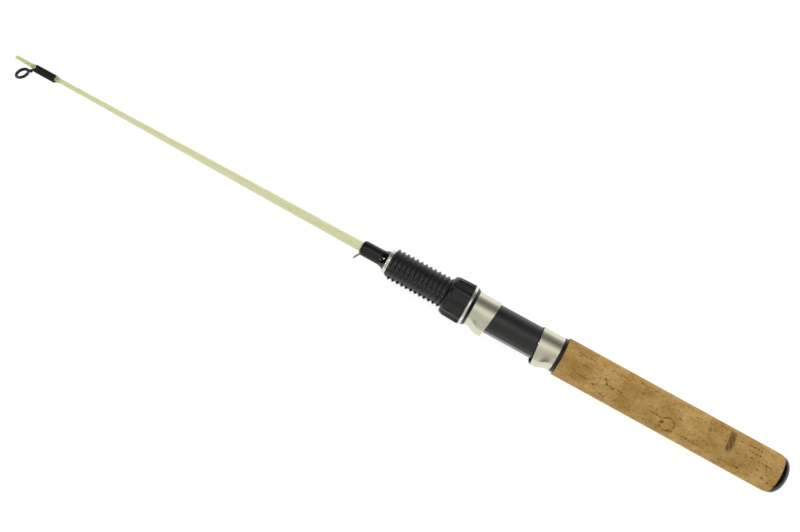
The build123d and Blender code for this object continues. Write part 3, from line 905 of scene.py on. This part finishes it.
def knurl_tree():
    """Geometry nodes: straight ridges in groups round a circle, one group for each land."""
    tree, given = growth(
        "land knurl", "Knurl",
        Float=["Radius", "Taper", "Length", "Ridge radius", "Start", "Land first", "Land span"],
        Int=["Lands", "Ridges per land"], Material=["Finish"],
    )

    def sum_of(kind, a, b):
        return step(tree, "ShaderNodeMath", {"operation": kind}, i0=a, i1=b).outputs[0]

    route = step(tree, "GeometryNodeCurvePrimitiveLine")
    tail = step(tree, "ShaderNodeCombineXYZ", X=given["Start"], Y=given["Radius"])
    nose_x = sum_of("ADD", given["Start"], given["Length"])
    nose_r = sum_of("SUBTRACT", given["Radius"], given["Taper"])
    nose = step(tree, "ShaderNodeCombineXYZ", X=nose_x, Y=nose_r)
    tree.links.new(tail.outputs[0], route.inputs["Start"])
    tree.links.new(nose.outputs[0], route.inputs["End"])
    profile = step(tree, "GeometryNodeCurvePrimitiveCircle", Resolution=6, Radius=given["Ridge radius"])
    ridge = step(tree, "GeometryNodeCurveToMesh", Curve=route.outputs[0], Profile_Curve=profile.outputs[0],
                 Fill_Caps=True)
    count = sum_of("MULTIPLY", given["Lands"], given["Ridges per land"])
    places = step(tree, "GeometryNodePoints", Count=count)
    index = step(tree, "GeometryNodeInputIndex").outputs[0]
    land = sum_of("FLOOR", sum_of("DIVIDE", index, given["Ridges per land"]), 0.0)
    within = sum_of("MODULO", index, given["Ridges per land"])
    spacing = sum_of("DIVIDE", given["Land span"], sum_of("SUBTRACT", given["Ridges per land"], 1.0))
    along_land = sum_of("MULTIPLY", within, spacing)
    offset = sum_of("SUBTRACT", along_land, sum_of("DIVIDE", given["Land span"], 2.0))
    land_turn = sum_of("MULTIPLY", land, sum_of("DIVIDE", 2 * math.pi, given["Lands"]))
    angle = sum_of("ADD", sum_of("ADD", land_turn, given["Land first"]), offset)
    turn = step(tree, "ShaderNodeCombineXYZ", X=angle)
    ridges = step(tree, "GeometryNodeInstanceOnPoints", Points=places.outputs[0], Instance=ridge.outputs[0],
                  Rotation=turn.outputs[0])
    return ended(tree, ridges, given["Finish"])


land_half = math.pi / FLUTES - FLUTE_HALF
knurl = grown(
    "nut_knurling", knurl_tree(), Radius=rear_r - RIDGE_DEPTH, Taper=0.44 * MM,
    Length=nut_length - NUT_CHAMFER - 2 * KNURL_INSET, Ridge_radius=0.19 * MM,
    Start=nut_low.x + KNURL_INSET,
    Land_first=FLUTE_FIRST + math.pi / FLUTES, Land_span=2 * land_half, Lands=FLUTES,
    Ridges_per_land=8, Finish=ridge_highlight_finish,
)
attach(knurl, "nut")

trim_ring("nut_trim", "nut_trim_ring", NUT_TRIM_BORE_R, 0.45 * MM, trim_metal, 160)


# ---- The rear collar --------------------------------------------------------------------------
# A plain black ring glued round the seat tube, between the fixed hood and the first cork. Its two
# outer edges are eased, so that a fine groove shows at each joint.

COLLAR_BORE_R = 10.41 * MM
trim_ring("rear_collar_ring", "rear_collar", COLLAR_BORE_R, 0.5 * MM, liner_finish, 160)


# ---- The cork grip ----------------------------------------------------------------------------
# Sixteen rings of natural cork glued end to end and sanded to one cylinder. Each ring has its own
# tone. Its pores open on the surface as short dark slits that run along the grip.

cork_names = [f"cork_ring_{k:02d}" for k in range(1, 17)]
cork_box = [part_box(name) for name in cork_names]
cork_r = cork_box[5][1].z
AROUND = 384
CORK_STEP = 0.33 * MM
CORK_BORE_R = 4.6 * MM
SANDED = 0.02 * MM
PORE_DEPTH = 0.25 * MM
FRONT_EDGE = 0.6 * MM
BUTT_RUN = 3.4 * MM
BUTT_DROP = 0.62 * MM
JOINT_HALF = 0.12 * MM
JOINT_DEPTH = 0.05 * MM


def cork_finish():
    material, tree, shader = finish_of("cork", Roughness=0.8, Specular_IOR_Level=0.25)
    fine = noise(tree, 420, 1100, 1100, 4)
    dashes = noise(tree, 330, 1500, 1500, 1)
    broad = noise(tree, 90, 150, 150, 4)
    hatch = noise(tree, 1200, 300, 300, 2)
    tone = step(tree, "ShaderNodeAttribute", {"attribute_name": "tone"}).outputs["Fac"]
    pore = step(tree, "ShaderNodeAttribute", {"attribute_name": "pore"}).outputs["Fac"]
    base = ramp(tree, broad, (0.30, (0.52, 0.30, 0.086)), (0.5, (0.63, 0.40, 0.138)),
                (0.72, (0.72, 0.49, 0.20)))
    grain = ramp(tree, fine, (0.30, (0.70, 0.62, 0.50)), (0.46, (1, 1, 1)), (0.72, (1, 1, 0.98)))
    lines = ramp(tree, dashes, (0.25, (0.38, 0.28, 0.20)), (0.31, (1, 1, 1)))
    across = ramp(tree, hatch, (0.35, (0.88, 0.86, 0.80)), (0.55, (1, 1, 1)))
    shade = ramp(tree, tone, (0.0, (0.86, 0.80, 0.72)), (1.0, (1.06, 1.08, 1.08)))
    look = base
    for layer in (grain, lines, across, shade):
        mixed = step(tree, "ShaderNodeMix", {"data_type": "RGBA", "blend_type": "MULTIPLY"}, i0=1.0, i6=look,
                     i7=layer)
        look = mixed.outputs[2]
    dark = step(tree, "ShaderNodeMix", {"data_type": "RGBA"}, i0=pore, i6=look, i7=(0.045, 0.022, 0.010, 1))
    tree.links.new(dark.outputs[2], shader.inputs["Base Color"])
    relief = step(tree, "ShaderNodeMath", {"operation": "ADD"}, i0=fine, i1=dashes)
    bumped(tree, shader, relief.outputs[0], 0.06 * MM, 0.5)
    return material


cork_look = cork_finish()
chance = np.random.default_rng(7)

# The larger flaws. Each has its front and rear ends along X and its half width in millimetres, its
# angle from Y towards Z in degrees, and how dark it is.
FLAWS = (
    (-41.3, -52.9, 0.28, 115, 0.75), (-43.5, -51.6, 0.22, 87, 0.6), (-46.9, -49.0, 0.45, 88, 0.7),
    (-43.5, -53.8, 0.40, 58, 0.6), (-55.7, -57.4, 0.55, 52, 1.0), (-54.2, -62.8, 0.22, 82, 0.65),
    (-62.1, -63.8, 0.50, 83, 0.9), (-63.8, -65.7, 0.50, 70, 1.0), (-67.0, -69.2, 0.50, 70, 1.0),
    (-72.6, -74.3, 0.50, 70, 1.0), (-63.8, -74.3, 0.18, 70, 0.7), (-63.2, -73.0, 0.25, 115, 0.75),
    (-83.7, -85.4, 0.55, 128, 0.9), (-93.1, -94.8, 0.40, 127, 0.9), (-83.7, -94.8, 0.20, 128, 0.7),
    (-63.4, -67.0, 0.40, 34, 0.9), (-72.2, -73.4, 0.45, 34, 0.9), (-94.8, -103.7, 0.30, 64, 0.95),
    (-103.9, -105.2, 1.20, 53, 0.95), (-110.0, -112.5, 0.90, 40, 0.8), (-109.9, -111.4, 0.50, 104, 0.6),
    (-112.7, -115.2, 0.45, 85, 0.7), (-145.3, -148.7, 7.40, 102, 0.72), (-138.9, -143.6, 0.35, 132, 0.8),
    (-152.5, -154.2, 0.45, 116, 0.9), (-158.0, -166.9, 0.45, 118, 0.8), (-159.2, -167.3, 0.50, 102, 0.75),
    (-166.4, -175.7, 0.28, 86, 0.8), (-171.9, -173.6, 0.55, 86, 0.9), (-167.3, -169.0, 0.45, 65, 0.8),
    (-174.3, -175.7, 0.45, 64, 0.8), (-156.3, -158.2, 0.70, 40, 0.9), (-142.3, -157.1, 0.22, 36, 0.6),
    (-172.8, -174.7, 0.55, 48, 0.8), (-177.4, -179.3, 0.60, 43, 0.9), (-181.2, -182.9, 0.50, 41, 0.8),
    (-131.3, -134.2, 1.00, 98, 0.35), (-116.4, -130.4, 0.30, 42, 0.8), (-121.5, -130.0, 0.22, 115, 0.6),
)
# A filled patch with a broken dark rim: its middle as (x, angle), and its reach along and round.
PATCH_MIDDLE = (-108.0 * MM, math.radians(52))
PATCH_REACH = (4.5 * MM, 4.6 * MM)


def apart(a, b):
    """How far angle a lies from angle b, as a length round the grip."""
    return ((a - b + math.pi) % (2 * math.pi) - math.pi) * cork_r


def flaw(x, a, front, rear, half, turn, dark):
    """How dark a flaw is at each place: a broken, wandering line, or a mottled blot if it is wide."""
    past = np.maximum(0, np.maximum(x - front, rear - x))
    wander = min(0.5 * half, 0.2 * MM) * np.sin(x / (1.2 * MM) + 40 * turn)
    across = np.abs(apart(a, turn) - wander) / half
    broken = 0.62 + 0.38 * np.sin(x / (0.42 * MM) + 90 * turn)
    if half > 1.0 * MM:
        broken = 0.7 + 0.3 * np.sin(x / (0.5 * MM) + a * 31) * np.sin(a * 47)
    sharpness = 2 if half < 1.0 * MM else 6
    return dark * broken * np.exp(-((past / (0.3 * MM)) ** 2) - across**sharpness)


def cork_ring(number, low, high):
    """One ring with its pores sunk into it. Their depth and the ring's tone are kept for its colour."""
    first, last = number == 0, number == len(cork_names) - 1
    length = high.x - low.x
    xs = np.linspace(low.x, high.x, max(int(length / CORK_STEP), 12))
    spins = angles_round(AROUND)
    x_grid, a_grid = np.meshgrid(xs, spins, indexing="ij")
    depth = np.zeros_like(x_grid)
    for front, rear, half, turn, dark in FLAWS:
        if rear * MM < high.x + 1 * MM and front * MM > low.x - 1 * MM:
            mark = flaw(x_grid, a_grid, front * MM, rear * MM, half * MM, math.radians(turn), dark)
            depth = np.maximum(depth, mark)
    from_middle = (x_grid - PATCH_MIDDLE[0]) / PATCH_REACH[0]
    out = np.hypot(from_middle, apart(a_grid, PATCH_MIDDLE[1]) / PATCH_REACH[1])
    broken = 0.55 + 0.45 * np.sin(a_grid * 23 + x_grid / (1.1 * MM))
    depth = np.maximum(depth, 0.85 * np.exp(-(((out - 1) / 0.09) ** 2)) * broken)
    for _ in range(int(chance.integers(16, 26))):
        middle, turn = chance.uniform(low.x, high.x), chance.uniform(0, 2 * math.pi)
        reach, half = chance.uniform(0.2, 2.6) * MM, chance.uniform(0.16, 0.34) * MM
        plain_side = math.radians(25) < turn < math.radians(145)
        dark = chance.uniform(0.3, 0.9) * (0.5 if plain_side else 1.0)
        depth = np.maximum(depth, flaw(x_grid, a_grid, middle + reach, middle - reach, half, turn, dark))
    radius = cork_r - SANDED - PORE_DEPTH * depth
    if first:
        radius -= FRONT_EDGE * np.clip((x_grid - (high.x - FRONT_EDGE)) / FRONT_EDGE, 0, 1) ** 2
    if last:
        radius -= BUTT_DROP * np.clip((low.x + BUTT_RUN - x_grid) / BUTT_RUN, 0, 1) ** 2
    else:
        radius -= JOINT_DEPTH * np.exp(-(((x_grid - low.x) / JOINT_HALF) ** 2))
    rows = np.stack([x_grid, radius * np.cos(a_grid), radius * np.sin(a_grid)], axis=-1)
    ends = [
        np.stack([np.full(AROUND, x), CORK_BORE_R * np.cos(spins), CORK_BORE_R * np.sin(spins)], axis=-1)
        for x in (high.x, low.x)
    ]
    ring = surface(f"cork_{number + 1:02d}", np.concatenate([rows, np.stack(ends)]), 50)
    pores = np.concatenate([np.clip(depth * 1.2, 0, 1).ravel(), np.zeros(2 * AROUND)])
    mesh = ring.data
    mesh.attributes.new("pore", "FLOAT", "POINT").data.foreach_set("value", pores.astype(np.float32))
    tone = np.full(len(mesh.vertices), chance.uniform(0.1, 0.95), np.float32)
    mesh.attributes.new("tone", "FLOAT", "POINT").data.foreach_set("value", tone)
    mesh.materials.append(cork_look)
    fit(ring, cork_names[number])


for number, (low, high) in enumerate(cork_box):
    cork_ring(number, low, high)


# ---- The butt cap -----------------------------------------------------------------------------
# A domed cap of gloss black plastic, with a stem glued into the grip. The dome is a quarter of an
# ellipse turned round the axis, and it starts at the last cork.

cap_low, cap_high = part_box("butt_cap")
cap_r = cap_high.z
cap_front = cork_box[-1][0].x
STEM_R = 4.5 * MM


def gloss_black():
    material, tree, shader = finish_of("gloss black", Roughness=0.22, Specular_IOR_Level=0.3)
    peel = noise(tree, 420, 420, 420, 3)
    tone = ramp(tree, peel, (0.3, (0.003, 0.003, 0.003)), (0.75, (0.012, 0.011, 0.010)))
    tree.links.new(tone, shader.inputs["Base Color"])
    bumped(tree, shader, peel, 0.1 * MM, 0.3)
    return material


dome = [
    (cap_front - (cap_front - cap_low.x) * math.sin(t), cap_r * math.cos(t))
    for t in np.linspace(0, math.pi / 2, 28)
]
stem = [(cap_high.x, 0.0), (cap_high.x, STEM_R), (cap_front, STEM_R)]
cap = turned("butt_dome", dome + stem, 160, 50)
cap.data.materials.append(gloss_black())
fit(cap, "butt_cap")


# ---- The studio -------------------------------------------------------------------------------
# The rod lies on a plain pale floor under soft light. The camera looks down on it from its reel
# side, turned so that the tip is at the upper left.

LEAN = math.radians(12)
TILT = math.radians(2.6)
ROLL = math.radians(28.81)
DISTANCE = 0.795
SHIFT = 1.0 * MM
LIT_POINT = Vector((0.05, 0, 0))
aim = Vector((0.0820, 0, 0))
outward = Vector((0, math.sin(LEAN), math.cos(LEAN)))
back = (outward * math.cos(TILT) - Vector((math.sin(TILT), 0, 0))).normalized()
along = (Vector((1, 0, 0)) - back * back.x).normalized()
reelward = back.cross(along)
right = -along * math.cos(ROLL) - reelward * math.sin(ROLL)
up = along * math.sin(ROLL) - reelward * math.cos(ROLL)
camera = placed("camera", bpy.data.cameras.new("camera"))
camera.data.sensor_width = 36
camera.data.lens = 57.15
place = aim - reelward * SHIFT + back * DISTANCE
camera.matrix_world = Matrix((
    (right.x, up.x, back.x, place.x),
    (right.y, up.y, back.y, place.y),
    (right.z, up.z, back.z, place.z),
    (0, 0, 0, 1),
))
bpy.context.scene.camera = camera

floor_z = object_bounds()[0].z
floor_mesh = bpy.data.meshes.new("floor")
reach = 6.0
floor_mesh.from_pydata(
    [(-reach, -reach, floor_z), (reach, -reach, floor_z), (reach, reach, floor_z), (-reach, reach, floor_z)],
    [], [(0, 1, 2, 3)],
)
floor = placed("floor", floor_mesh)
floor_finish = finish_of(
    "pale floor", Base_Color=(0.35, 0.35, 0.35, 1), Roughness=0.9, Specular_IOR_Level=0.0,
    Emission_Color=(1.0, 1.0, 0.985, 1), Emission_Strength=0.85,
)[0]
floor.data.materials.append(floor_finish)

world = bpy.data.worlds.new("studio")
bpy.context.scene.world = world
world.use_nodes = True
tree = world.node_tree
sky = tree.nodes["Background"]
way = step(tree, "ShaderNodeSeparateXYZ", i0=step(tree, "ShaderNodeTexCoord").outputs["Generated"])
round_rod = step(tree, "ShaderNodeMath", {"operation": "ARCTAN2"}, i0=way.outputs[1], i1=way.outputs[2])
share = step(tree, "ShaderNodeMapRange", Value=round_rod.outputs[0], i1=-math.pi, i2=math.pi)

# How bright the tent is at each angle round the rod, in degrees from Z towards Y.
panels = (
    (-100, 1.0), (-88, 0.70), (-70, 0.31), (-54, 0.20), (-40, 0.20), (-26, 0.41), (-13, 0.77),
    (-1, 1.0), (12, 0.75), (31, 0.59), (57, 0.64), (78, 0.65), (94, 0.91),
)
tent = ramp(tree, share.outputs[0], *[
    ((angle + 180) / 360, (level, 0.985 * level, 0.93 * level)) for angle, level in panels
])
end_on = step(tree, "ShaderNodeMath", {"operation": "ABSOLUTE"}, i0=way.outputs[0])
fall = step(tree, "ShaderNodeMapRange", Value=end_on.outputs[0], i1=0.22, i2=0.50, i3=1.0, i4=0.10)
light = step(tree, "ShaderNodeVectorMath", {"operation": "SCALE"}, i0=tent, Scale=fall.outputs[0])
tree.links.new(light.outputs[0], sky.inputs["Color"])
sky.inputs["Strength"].default_value = 1.1


def softbox(name, place, size, power, in_gloss):
    """A lamp that faces the rod. With in_gloss it shows only as a reflection, else it only lights."""
    lamp = bpy.data.lights.new(name, "AREA")
    lamp.shape = "RECTANGLE"
    lamp.size, lamp.size_y = size
    lamp.energy = power
    holder = placed(name, lamp)
    holder.visible_glossy = in_gloss
    holder.visible_diffuse = not in_gloss
    holder.location = place
    holder.rotation_mode = "QUATERNION"
    holder.rotation_quaternion = (Vector(place) - LIT_POINT).to_track_quat("Z", "Y")


softbox("fill", (0.05, 0.1, 1.4), (1.4, 0.9), 6.5, False)
softbox("rear fill", (0.05, -1.0, 0.5), (1.0, 0.6), 3, False)
softbox("front", (0.95, 0.12, 0.70), (0.12, 0.30), 1.6, True)
softbox("strip", (0.45, 0.62, 0.62), (0.03, 0.25), 1.1, True)

bpy.context.scene.view_settings.view_transform = "Standard"
